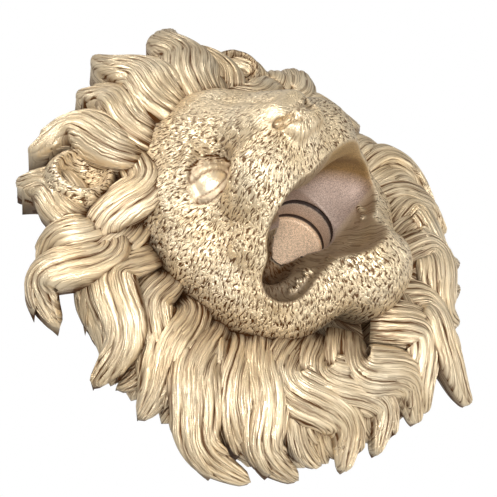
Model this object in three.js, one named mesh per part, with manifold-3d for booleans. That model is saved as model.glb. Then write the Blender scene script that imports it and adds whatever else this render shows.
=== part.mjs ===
// Lion head wall mask with an open mouth and a round bore in it, cast in one piece.
// Millimetres, +Z up. The wall is the plane y = 0 and the lion looks along -Y.
// Places are written (side, up, out): side is +X, up is +Z and out is -Y, away from the wall.

import * as THREE from 'three';
import { mergeVertices } from 'three/addons/utils/BufferGeometryUtils.js';
import Module from 'manifold-3d';

const wasm = await Module();
wasm.setup();

// The bore and the two grooves of the ring band in it
const boreRadius = 14;
const boreEndOut = 13;
const boreFlare = { startOut: 36, radius: 21, out: 52 };
const ringGroove = { depth: 1.2, width: 2, flank: 0.6 };
const ringBandLength = 11;

// The mane. Its locks' places are shares of maneReach, measured from the middle of the face, and the
// dome that carries the locks stops a little inside it.
const faceCentreUp = 5;
const maneReach = { side: 100, up: 100 };
const maneDome = { insideSide: 10, insideUp: 4, out: 24, sunkIn: 4, lobes: 34, lobeHeight: 2.5 };
const rootOut = { side: 24, crownExtra: 26, beardExtra: 8 };
const tipOut = { side: 4, crownExtra: 22, beardExtra: 2 };
const leftShorter = { by: 0.05, fromDegrees: 88, toDegrees: 102 };

// The head. Each form is an egg with a middle and radii, or a bar with two ends and a radius,
// and blend is how softly it runs into the forms before it.
const headHeart = [0, 5, 22];
const headForms = {
  skull: { at: [0, 30, 6], radii: [58, 68, 49], blend: 5 },
  forehead: { at: [0, 58, 34], radii: [26, 18, 21], blend: 10 },
  cheek: { at: [29, 2, 16], radii: [28, 34, 27], blend: 8 },
  cheekbone: { at: [42, 26, 24], radii: [14, 10, 13], blend: 7 },
  jaw: { ends: [[36, -17, 21], [13, -30, 32]], radius: 11, blend: 9 },
  chin: { at: [0, -36.5, 28], radii: [20.5, 16.5, 25.5], blend: 4 },
  lowerLip: { ends: [[0, -31.5, 46], [20, -25.5, 36]], radius: 6, blend: 5 },
  browRidge: { ends: [[11, 50, 47], [37, 47, 35]], radius: 9, blend: 7 },
  noseBridge: { ends: [[5, 55, 46], [6, 30, 69.5]], radius: 11, blend: 8 },
  muzzle: { at: [0, 21, 54], radii: [20, 18, 23], blend: 6 },
  whiskerPad: { at: [16, 21.5, 49], radii: [20.5, 17, 27], blend: 5 },
  lipRoll: { ends: [[25, 12, 58], [36, 8, 43]], radius: 7, blend: 6 },
  cornerRoll: { ends: [[36, 8, 43], [39, -9, 28]], radius: 7, blend: 5 },
};
// The lip hangs lower on the lion's left, and on its right it is drawn up in a snarl.
const leftForms = {
  pad: { at: [17, 16, 48], radii: [21, 17, 27], blend: 5 },
  roll: { ends: [[24, 6, 52], [37, 2, 40]], radius: 8, blend: 5 },
};
const nosePad = { at: [0, 25.5, 73.5], half: [10.5, 9.5, 9.5], rounding: 5, blend: 2.5 };
const nostril = { ends: [[3.5, 22.5, 84], [9.5, 26.5, 78.5]], radius: 2, blend: 1.5 };
const eye = { at: [25, 37, 42], radius: 9.5 };
const eyeSocket = { at: [26.5, 37, 55.5], radii: [13.5, 9.5, 10.5], blend: 5 };
const eyelid = {
  gap: 1.2, radius: 2, endRadius: 1.1, sunkIn: 1.2, spanDegrees: 150, widen: 1.05,
  upperRise: 0.66, lowerDrop: 0.56, droop: 0.16,
};

// The mouth
const mouthHollow = { at: [0, -8, 58], radii: [35, 14.5, 30] };
const mouthFloor = { at: [0, -16, 60], radii: [17, 15, 24] };
const mouthCorner = { at: [23, -8, 40], radii: [14, 10.5, 14] };
const rightHollows = {
  snarl: { at: [19, -3, 50], radii: [19, 13, 26] },
  pocket: { at: [22, -1, 33], radii: [14, 9.5, 20] },
  corner: { at: [33, -9, 38], radii: [12, 10.5, 13] },
};

// The ears
const ear = { at: [53, 79, 25], radii: [14.5, 15, 15] };
const earBowl = { at: [52, 79, 40], radii: [10, 10.5, 13] };

// How a lock is shaped along its length, from root to tip
const lockArch = 3;
const lockRootDip = { depth: 13, fade: 4 };
const lockLean = { root: 0.25, tip: 0.75 };
const lockCrest = { share: 0.36, thinning: 0.35, shoulder: 0.9, shoulderSide: 0.4, edgeDrop: 0.35 };
const lockFullness = { least: 0.5, swell: 0.6, startTurn: 0.1, endTurn: 0.85, tipTaper: 0.4, taperFade: 6 };
const lockUnderside = 0.8;
const lockTipBulge = 2.5;

// Fineness of the facets
const finestEdge = 0.02;
const headDetail = 9;
const headScanSteps = 70;
const lockStep = 17;
const leastLockSteps = 4;
const hollowSegments = 20;
const smallHollowSegments = 12;
const eyelidSteps = 8;
const eyelidSides = 5;

// The locks of one side, from the crown down to the beard. A root or tip is its angle in degrees from
// straight up and its share of maneReach. bow bends a lock to one side and sway makes it an S, in mm.
const sideLocks = [
  { root: [15, 0.66], tip: [9, 1.12], bow: 1, sway: 1, width: 20, lift: 0 },
  { root: [24, 0.72], tip: [29, 1.14], bow: -6, sway: 2, width: 20, lift: 1 },
  { root: [44, 0.84], tip: [35, 1.15], bow: 2, sway: 2, width: 17, lift: -6 },
  { root: [47, 0.84], tip: [54, 1.04], bow: -1, sway: 1, width: 16, lift: -4 },
  { root: [26, 0.74], tip: [56, 0.93], bow: 8, sway: 3, width: 18, lift: 2 },
  { root: [53, 0.82], tip: [68, 1.04], bow: -6, sway: 5, width: 17, lift: 1 },
  { root: [47, 0.70], tip: [75, 0.93], bow: -7, sway: 2, width: 16, lift: -2 },
  { root: [58, 0.66], tip: [82, 1.04], bow: -4, sway: -5, width: 18, lift: 2 },
  { root: [67, 0.62], tip: [85, 0.98], bow: 4, sway: -4, width: 18, lift: 0 },
  { root: [79, 0.60], tip: [93, 1.01], bow: 3, sway: 2, width: 19, lift: 1 },
  { root: [88, 0.58], tip: [102, 0.98], bow: 1, sway: 2, width: 17, lift: -2 },
  { root: [96, 0.57], tip: [119, 1.06], bow: -19, sway: 3, width: 17, lift: 2 },
  { root: [105, 0.56], tip: [122, 0.98], bow: -11, sway: 5, width: 19, lift: 0 },
  { root: [113, 0.54], tip: [129, 1.04], bow: -11, sway: 3, width: 18, lift: 2 },
  { root: [122, 0.54], tip: [135, 0.99], bow: -10, sway: 1, width: 17, lift: 0 },
  { root: [131, 0.55], tip: [140, 1.03], bow: -6, sway: -8, width: 19, lift: 2 },
  { root: [141, 0.55], tip: [149, 1.01], bow: -3, sway: -9, width: 19, lift: 1 },
  { root: [152, 0.56], tip: [163, 0.99], bow: -6, sway: -8, width: 20, lift: 3 },
];
const middleLocks = [
  { root: [2, 0.62], tip: [-1, 1.21], bow: 1, sway: 1, width: 23, lift: 4 },
  { root: [-7, 0.60], tip: [-24, 1.25], bow: 6, sway: -2, width: 23, lift: 5 },
  { root: [166, 0.55], tip: [166, 0.98], bow: 11, sway: 2, width: 19, lift: 4 },
  { root: [-179, 0.55], tip: [178, 1.11], bow: 7, sway: 7, width: 18, lift: 4 },
  { root: [-166, 0.56], tip: [-172, 0.98], bow: -7, sway: -4, width: 18, lift: 2 },
];

const radians = (degrees) => degrees * Math.PI / 180;
const toWorld = (side, up, out) => new THREE.Vector3(side, -out, up);

function smoothMin(a, b, blend) {
  const h = Math.max(blend - Math.abs(a - b), 0) / blend;
  return Math.min(a, b) - h * h * blend / 4;
}

const smoothMax = (a, b, blend) => -smoothMin(-a, -b, blend);

// Distance to an ellipsoid, near enough close to its surface.
function ellipsoid(point, { at, radii }) {
  const q = point.map((v, i) => (v - at[i]) / radii[i]);
  const far = Math.hypot(...q);
  const slope = Math.hypot(...q.map((v, i) => v / radii[i]));
  return slope > 0 ? far * (far - 1) / slope : -Math.min(...radii);
}

function capsule(point, { ends: [start, end], radius }) {
  const along = end.map((v, i) => v - start[i]);
  const from = point.map((v, i) => v - start[i]);
  const dot = along.reduce((sum, v, i) => sum + v * from[i], 0);
  const t = Math.min(Math.max(dot / along.reduce((sum, v) => sum + v * v, 0), 0), 1);
  return Math.hypot(...from.map((v, i) => v - along[i] * t)) - radius;
}

function roundedBox(point, { at, half, rounding }) {
  const q = point.map((v, i) => Math.abs(v - at[i]) - half[i] + rounding);
  const outside = Math.hypot(...q.map((v) => Math.max(v, 0)));
  return outside + Math.min(Math.max(...q), 0) - rounding;
}

const formDistance = (point, form) => (form.radii ? ellipsoid(point, form) : capsule(point, form));

// Distance to the head without its mouth and ears. But for the lip it is the same on both sides.
function headDistance(side, up, out) {
  const p = [Math.abs(side), up, out];
  const lobe = maneDome.lobeHeight * Math.cos(maneDome.lobes * Math.atan2(p[0], up - faceCentreUp));
  const domeSide = maneReach.side - maneDome.insideSide + lobe;
  const domeUp = maneReach.up - maneDome.insideUp + lobe;
  const dome = { at: [0, faceCentreUp, -maneDome.sunkIn], radii: [domeSide, domeUp, maneDome.out] };
  let d = ellipsoid(p, dome);
  for (const form of Object.values(headForms)) {
    d = smoothMin(d, formDistance(p, form), form.blend);
  }
  for (const form of Object.values(leftForms)) {
    d = smoothMin(d, formDistance([side, up, out], form), form.blend);
  }
  d = smoothMax(d, -ellipsoid(p, eyeSocket), eyeSocket.blend);
  d = smoothMin(d, roundedBox(p, nosePad), nosePad.blend);
  return smoothMax(d, -capsule(p, nostril), nostril.blend);
}

// A closed geometry as a solid that can be joined and cut.
function solidOf(geometry) {
  const bare = geometry.clone();
  bare.deleteAttribute('normal');
  bare.deleteAttribute('uv');
  const merged = mergeVertices(bare, 1e-4);
  return new wasm.Manifold(new wasm.Mesh({
    numProp: 3,
    vertProperties: new Float32Array(merged.attributes.position.array),
    triVerts: new Uint32Array(merged.index.array),
  }));
}

// A sphere whose points are moved along their rays onto the outermost surface of the head.
function headSolid() {
  const farAway = 1.5 * Math.max(maneReach.side, maneReach.up);
  const step = farAway / headScanSteps;
  const halvings = 12;
  const sphere = new THREE.IcosahedronGeometry(1, headDetail);
  const position = sphere.attributes.position;
  for (let i = 0; i < position.count; i++) {
    const ray = [position.getX(i), position.getZ(i), -position.getY(i)];
    const pointAt = (t) => headHeart.map((v, k) => v + ray[k] * t);
    let outer = farAway;
    while (outer > step && headDistance(...pointAt(outer - step)) > 0) {
      outer -= step;
    }
    let inner = outer - step;
    for (let k = 0; k < halvings; k++) {
      const middle = (inner + outer) / 2;
      [inner, outer] = headDistance(...pointAt(middle)) > 0 ? [inner, middle] : [middle, outer];
    }
    position.setXYZ(i, ...toWorld(...pointAt(inner)));
  }
  return solidOf(sphere);
}

function ellipsoidSolid({ at, radii }, mirror = 1, segments = hollowSegments) {
  const sphere = new THREE.SphereGeometry(1, segments, segments / 2);
  sphere.scale(radii[0], radii[2], radii[1]);
  sphere.translate(...toWorld(at[0] * mirror, at[1], at[2]));
  return solidOf(sphere);
}

// A closed body through rings of points, each ring as many points, in order along the body.
// tipBulge moves the middle of the last ring out, which rounds the tip.
function sweptSolid(rings, tipBulge = 0) {
  const size = rings[0].length;
  const points = rings.flat();
  const index = [];
  for (let r = 0; r + 1 < rings.length; r++) {
    for (let k = 0; k < size; k++) {
      const a = r * size + k;
      const b = r * size + (k + 1) % size;
      index.push(a, b, a + size, b, b + size, a + size);
    }
  }
  for (const [ring, flip] of [[0, true], [rings.length - 1, false]]) {
    const middle = new THREE.Vector3();
    rings[ring].forEach((p) => middle.addScaledVector(p, 1 / size));
    if (!flip && tipBulge > 0) {
      const before = new THREE.Vector3();
      rings[ring - 1].forEach((p) => before.addScaledVector(p, 1 / size));
      middle.addScaledVector(before.sub(middle).normalize(), -tipBulge);
    }
    const hub = points.push(middle) - 1;
    for (let k = 0; k < size; k++) {
      const a = ring * size + k;
      const b = ring * size + (k + 1) % size;
      index.push(...(flip ? [hub, b, a] : [hub, a, b]));
    }
  }
  const geometry = new THREE.BufferGeometry().setFromPoints(points);
  geometry.setIndex(index);
  return solidOf(geometry);
}

// How far out of the wall roots and tips of locks lie, by the angle from straight up.
function outAt(range, degrees) {
  const c = Math.cos(radians(degrees));
  return range.side + range.crownExtra * Math.max(c, 0) ** 1.5 + range.beardExtra * Math.max(-c, 0);
}

const polar = ([degrees, share], mirror) => [
  mirror * -share * maneReach.side * Math.sin(radians(degrees)),
  faceCentreUp + share * maneReach.up * Math.cos(radians(degrees)),
];

// The locks are carved a little shorter below the ear on the lion's left.
function tipPlace(lock, mirror) {
  const [degrees, share] = lock.tip;
  const below = THREE.MathUtils.smoothstep(degrees, leftShorter.fromDegrees, leftShorter.toDegrees);
  return polar([degrees, share - (mirror < 0 ? leftShorter.by * below : 0)], mirror);
}

// The middle line of a lock at t from 0 (root) to 1 (tip).
function lockLine(lock, mirror, t) {
  const start = polar(lock.root, mirror);
  const end = tipPlace(lock, mirror);
  const chord = [end[0] - start[0], end[1] - start[1]];
  const length = Math.hypot(...chord);
  const left = [-chord[1] / length * mirror, chord[0] / length * mirror];
  const bend = lock.bow * Math.sin(Math.PI * t) + lock.sway * Math.sin(2 * Math.PI * t);
  const rootHeight = outAt(rootOut, lock.root[0]) + lock.lift;
  const tipHeight = outAt(tipOut, lock.tip[0]) + lock.lift / 2;
  const arch = lockArch * Math.sin(Math.PI * t) - lockRootDip.depth * (1 - t) ** lockRootDip.fade;
  return [
    start[0] + chord[0] * t + left[0] * bend,
    start[1] + chord[1] * t + left[1] * bend,
    THREE.MathUtils.lerp(rootHeight, tipHeight, t) + arch,
  ];
}

// One lock: a crested strand that rises out of the head, is full in the middle and ends in a blunt tip.
function lockSolid(lock, mirror) {
  const [start, end] = [polar(lock.root, mirror), tipPlace(lock, mirror)];
  const chord = Math.hypot(end[0] - start[0], end[1] - start[1]);
  const length = chord + Math.abs(lock.bow) + 2 * Math.abs(lock.sway);
  const steps = Math.max(leastLockSteps, Math.round(length / lockStep));
  const nearby = 0.02;
  const rings = [];
  for (let i = 0; i <= steps; i++) {
    const t = i / steps;
    const here = lockLine(lock, mirror, t);
    const ahead = toWorld(...lockLine(lock, mirror, t + nearby));
    const along = ahead.sub(toWorld(...lockLine(lock, mirror, t - nearby))).normalize();
    const radial = new THREE.Vector3(here[0], 0, here[1] - faceCentreUp).normalize();
    const lean = THREE.MathUtils.lerp(lockLean.root, lockLean.tip, t);
    const outward = new THREE.Vector3(0, -1, 0).addScaledVector(radial, lean);
    outward.addScaledVector(along, -outward.dot(along)).normalize();
    const across = new THREE.Vector3().crossVectors(along, outward);
    const turn = Math.PI * THREE.MathUtils.lerp(lockFullness.startTurn, lockFullness.endTurn, t);
    const taper = 1 - lockFullness.tipTaper * t ** lockFullness.taperFade;
    const half = lock.width / 2 * (lockFullness.least + lockFullness.swell * Math.sin(turn)) * taper;
    const crest = lock.width * lockCrest.share * (1 - lockCrest.thinning * t);
    const depth = Math.max(here[2] * lockUnderside, crest);
    const place = (s, h) => toWorld(...here).addScaledVector(across, s * half).addScaledVector(outward, h);
    rings.push([
      place(-1, -crest * lockCrest.edgeDrop),
      place(-lockCrest.shoulderSide, crest * lockCrest.shoulder),
      place(lockCrest.shoulderSide, crest),
      place(1, -crest * lockCrest.edgeDrop),
      toWorld(here[0], here[1], here[2] - depth),
    ]);
  }
  return sweptSolid(rings, lockTipBulge);
}

function lockSolids() {
  const solids = middleLocks.map((lock) => lockSolid(lock, 1));
  for (const mirror of [1, -1]) {
    sideLocks.forEach((lock) => solids.push(lockSolid(lock, mirror)));
  }
  return solids;
}

// Upper and lower rim of an eye, as bent bars that follow the ball.
function eyelidSolid(mirror, upper) {
  const rings = [];
  const reach = eye.radius + eyelid.gap;
  const turn = upper ? 1 : -1;
  const rise = upper ? eyelid.upperRise : eyelid.lowerDrop;
  for (let i = 0; i <= eyelidSteps; i++) {
    const t = i / eyelidSteps;
    const a = radians(90 + (t - 0.5) * eyelid.spanDegrees) * turn;
    const spread = [Math.cos(a) * reach * eyelid.widen, Math.sin(a) * reach * rise];
    const bulge = Math.sqrt(Math.max(reach * reach - spread[0] ** 2 - spread[1] ** 2, 1));
    const centre = [
      eye.at[0] + spread[0],
      eye.at[1] + spread[1] - eyelid.droop * spread[0],
      eye.at[2] + bulge - eyelid.sunkIn,
    ];
    const thick = THREE.MathUtils.lerp(eyelid.endRadius, eyelid.radius, Math.sin(Math.PI * t));
    const ring = [];
    for (let k = 0; k < eyelidSides; k++) {
      const b = 2 * Math.PI * k / eyelidSides * turn * mirror;
      const sideways = thick * Math.sin(b);
      ring.push(toWorld(
        mirror * (centre[0] + Math.cos(a) * sideways),
        centre[1] + Math.sin(a) * sideways,
        centre[2] + thick * Math.cos(b)));
    }
    rings.push(ring);
  }
  return sweptSolid(rings);
}

// The bore with its two ring grooves, turned about an axis square to the wall.
function boreSolid() {
  const profile = [[0, boreEndOut], [boreRadius, boreEndOut]];
  const { depth, width, flank } = ringGroove;
  for (const start of [boreEndOut + width, boreEndOut + width + ringBandLength]) {
    profile.push([boreRadius, start], [boreRadius + depth, start + flank]);
    profile.push([boreRadius + depth, start + width - flank], [boreRadius, start + width]);
  }
  profile.push([boreRadius, boreFlare.startOut], [boreFlare.radius, boreFlare.out], [0, boreFlare.out]);
  const outline = profile.map(([r, out]) => new THREE.Vector2(r, out));
  const turned = new THREE.LatheGeometry(outline, hollowSegments);
  turned.rotateX(Math.PI);
  return solidOf(turned);
}

// The casting fills the small hollows that locks close off below them, and slivers finer than
// finestEdge are gone.
function cleaned(solid) {
  const shells = solid.setTolerance(finestEdge).decompose();
  return wasm.Manifold.compose(shells.filter((shell) => shell.volume() > 0));
}

function maskSolid() {
  let solid = headSolid();
  const eyeBall = { at: eye.at, radii: [eye.radius, eye.radius, eye.radius] };
  for (const mirror of [1, -1]) {
    solid = solid.add(ellipsoidSolid(ear, mirror));
  }
  lockSolids().forEach((lock) => { solid = solid.add(lock); });
  for (const mirror of [1, -1]) {
    solid = solid.subtract(ellipsoidSolid(earBowl, mirror, smallHollowSegments));
    solid = solid.add(ellipsoidSolid(eyeBall, mirror, smallHollowSegments));
    solid = solid.add(eyelidSolid(mirror, true)).add(eyelidSolid(mirror, false));
  }
  solid = solid.subtract(ellipsoidSolid(mouthHollow));
  solid = solid.subtract(ellipsoidSolid(mouthFloor, 1, smallHollowSegments));
  for (const hollow of Object.values(rightHollows)) {
    solid = solid.subtract(ellipsoidSolid(hollow, -1, smallHollowSegments));
  }
  for (const mirror of [1, -1]) {
    solid = solid.subtract(ellipsoidSolid(mouthCorner, mirror, smallHollowSegments));
  }
  solid = solid.subtract(boreSolid());
  const roomSize = 5 * Math.max(maneReach.side, maneReach.up);
  const room = new THREE.BoxGeometry(roomSize, roomSize, roomSize);
  room.translate(0, -roomSize / 2, 0);
  return cleaned(solid.intersect(solidOf(room)));
}

const shape = maskSolid().getMesh();
const geometry = new THREE.BufferGeometry();
geometry.setAttribute('position', new THREE.BufferAttribute(new Float32Array(shape.vertProperties), 3));
geometry.setIndex(new THREE.BufferAttribute(new Uint32Array(shape.triVerts), 1));
geometry.computeVertexNormals();

const goldPaint = new THREE.MeshStandardMaterial({ color: 0xcdb98a, roughness: 0.42, metalness: 0.6 });
const mask = new THREE.Mesh(geometry, goldPaint);
mask.name = 'lion_mask';

const part = new THREE.Group();
part.add(mask);
export default part;
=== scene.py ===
import math

import bpy
import numpy as np
from mathutils import Matrix, Vector
from mathutils.bvhtree import BVHTree


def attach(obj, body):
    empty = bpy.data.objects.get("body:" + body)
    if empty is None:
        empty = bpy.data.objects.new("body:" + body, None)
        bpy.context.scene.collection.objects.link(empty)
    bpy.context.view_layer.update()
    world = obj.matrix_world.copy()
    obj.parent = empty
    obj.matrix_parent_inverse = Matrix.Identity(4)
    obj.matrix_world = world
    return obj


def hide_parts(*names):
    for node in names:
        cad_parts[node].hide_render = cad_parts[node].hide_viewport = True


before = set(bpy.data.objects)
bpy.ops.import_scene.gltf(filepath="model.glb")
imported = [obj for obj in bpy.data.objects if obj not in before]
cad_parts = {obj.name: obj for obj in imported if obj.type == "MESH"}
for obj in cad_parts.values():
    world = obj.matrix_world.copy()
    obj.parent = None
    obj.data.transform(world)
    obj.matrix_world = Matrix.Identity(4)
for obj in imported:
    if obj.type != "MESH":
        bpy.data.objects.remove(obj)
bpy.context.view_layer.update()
print("frame loaded")

# Places are (side, up, out) in mm, as a carver reads a mask: side is +X, up is +Z,
# and out is away from the wall
mm = 0.001


def toWorld(points):
    points = np.asarray(points, dtype=float)
    return np.stack([points[:, 0], -points[:, 2], points[:, 1]], axis=1) * mm


# Camera and light

view = {
    "azimuthDegrees": -42,
    "elevationDegrees": -6.6,
    "turnDegrees": -52.2,          # the mask stands turned in the picture
    "distance": 270 * mm,
    "aim": (0, -40 * mm, 5 * mm),
    "aimPixel": (303, 204),        # where the aim shows in the 497 pixel picture
    "pictureSize": 497,
    "pixelsPerMm": 2.316,
}


def makeCamera():
    data = bpy.data.cameras.new("studioCamera")
    camera = bpy.data.objects.new("studioCamera", data)
    bpy.context.scene.collection.objects.link(camera)
    bpy.context.scene.camera = camera
    azimuth, elevation = math.radians(view["azimuthDegrees"]), math.radians(view["elevationDegrees"])
    level = math.cos(elevation)
    back = Vector((math.sin(azimuth) * level, -math.cos(azimuth) * level, math.sin(elevation)))
    place = Vector(view["aim"]) + back * view["distance"]
    size = view["pictureSize"]
    data.sensor_width = 36
    data.lens = view["pixelsPerMm"] / mm * view["distance"] / size * data.sensor_width
    data.clip_start = 0.01
    upright = (-back).to_track_quat("-Z", "Y").to_matrix().to_4x4()
    turn = Matrix.Rotation(math.radians(view["turnDegrees"]), 4, "Z")
    camera.matrix_world = Matrix.Translation(place) @ (upright @ turn)
    data.shift_x = -(view["aimPixel"][0] - size / 2) / size
    data.shift_y = (view["aimPixel"][1] - size / 2) / size
    return camera


# Lamps stand across, up and towards the camera from the aim, in metres
lights = {
    "keyLight": {"place": (-0.45, 0.55, 0.35), "size": 0.35, "power": 4.6},
    "fillLight": {"place": (0.7, -0.1, 0.4), "size": 0.8, "power": 2},
    "frontLight": {"place": (0.05, 0.1, 0.9), "size": 0.3, "power": 9},
}
room = {"backdrop": 1.0, "lighting": 0.4}      # white to the camera, softer to the mask


def makeLights(camera):
    middle = Vector(view["aim"])
    axes = camera.matrix_world.to_3x3()
    for name, spec in lights.items():
        data = bpy.data.lights.new(name, "AREA")
        data.shape = "DISK"
        data.size = spec["size"]
        data.energy = spec["power"]
        lamp = bpy.data.objects.new(name, data)
        lamp.location = middle + axes @ Vector(spec["place"])
        lamp.rotation_euler = (middle - lamp.location).to_track_quat("-Z", "Y").to_euler()
        bpy.context.scene.collection.objects.link(lamp)
    world = bpy.data.worlds.new("whiteStudio")
    world.use_nodes = True
    tree = world.node_tree
    tree.nodes.clear()
    seen = addNode(tree, "ShaderNodeLightPath").outputs["Is Camera Ray"]
    strength = addNode(tree, "ShaderNodeMapRange", {"To Min": room["lighting"], "To Max": room["backdrop"]},
                       {"Value": seen}).outputs["Result"]
    backdrop = addNode(tree, "ShaderNodeBackground", {"Color": (1, 1, 1, 1)}, {"Strength": strength})
    addNode(tree, "ShaderNodeOutputWorld", None, {"Surface": backdrop.outputs[0]})
    bpy.context.scene.world = world
    bpy.context.scene.view_settings.view_transform = "Standard"


# Materials

def linear(hexColour):
    parts = [int(hexColour[i:i + 2], 16) / 255 for i in (1, 3, 5)]
    return tuple(c / 12.92 if c <= 0.04045 else ((c + 0.055) / 1.055) ** 2.4 for c in parts) + (1,)


def addNode(tree, kind, settings=None, links=None):
    node = tree.nodes.new(kind)
    for key, value in (settings or {}).items():
        if isinstance(key, str) and hasattr(node, key):
            setattr(node, key, value)
        else:
            node.inputs[key].default_value = value
    for key, source in (links or {}).items():
        tree.links.new(source, node.inputs[key])
    return node


def newMaterial(name):
    material = bpy.data.materials.new(name)
    material.use_nodes = True
    material.node_tree.nodes.clear()
    return material, material.node_tree


# Champagne gold metallic lacquer, sprayed on cast resin and rubbed back over a dark brown wash:
# pale bright ridges, brown in every groove; the same brown also stands in for painted shade in hollows and creases
goldLacquer = {
    "pale": "#EEDFC3", "warm": "#CFB386", "washAndShade": "#52310F",
    "metallic": 0.7, "roughness": 0.3, "boreMetallic": 0.3, "washedRoughness": 0.6,
    "grainMm": 0.5, "grainDeepMm": 0.22, "patchMm": 18,
    "strokes": (0.39, 0.58),           # where the noise is groove and where it is ridge
    "reachStep": 1.25,                 # from one band of the face's strokes to the next
    "wanderEveryMm": 5,
}
# Strokes in mm across and along the hair, how deep they are cut, how far they wander,
# and how much wash their bottoms hold
furStrokes = {"across": 0.7, "along": 2.5, "deep": 0.5, "wander": 2.4, "bottomWash": 0.95, "aboutNose": True}
lockStrokes = {"across": 0.62, "along": 24.0, "deep": 0.35, "wander": 0.9, "bottomWash": 0.6, "aboutNose": False}
# The bore is turned smooth and only misted with lacquer: its colours from the end disc outwards,
# by mm from the wall; the two near-black bands are painted shade in the ring grooves
boreColoursAndGrooveShade = [
    (10, "#DEC3A6"), (14.4, "#DCC1A4"), (15.0, "#2E1C12"), (16.6, "#2E1C12"),
    (17.2, "#B39C8A"), (25.4, "#B9A594"), (26.0, "#2A1A12"), (27.8, "#2A1A12"),
    (28.4, "#A89488"), (35, "#A08A7C"), (41, "#80623A"), (60, "#9C7F54"),
]


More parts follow.
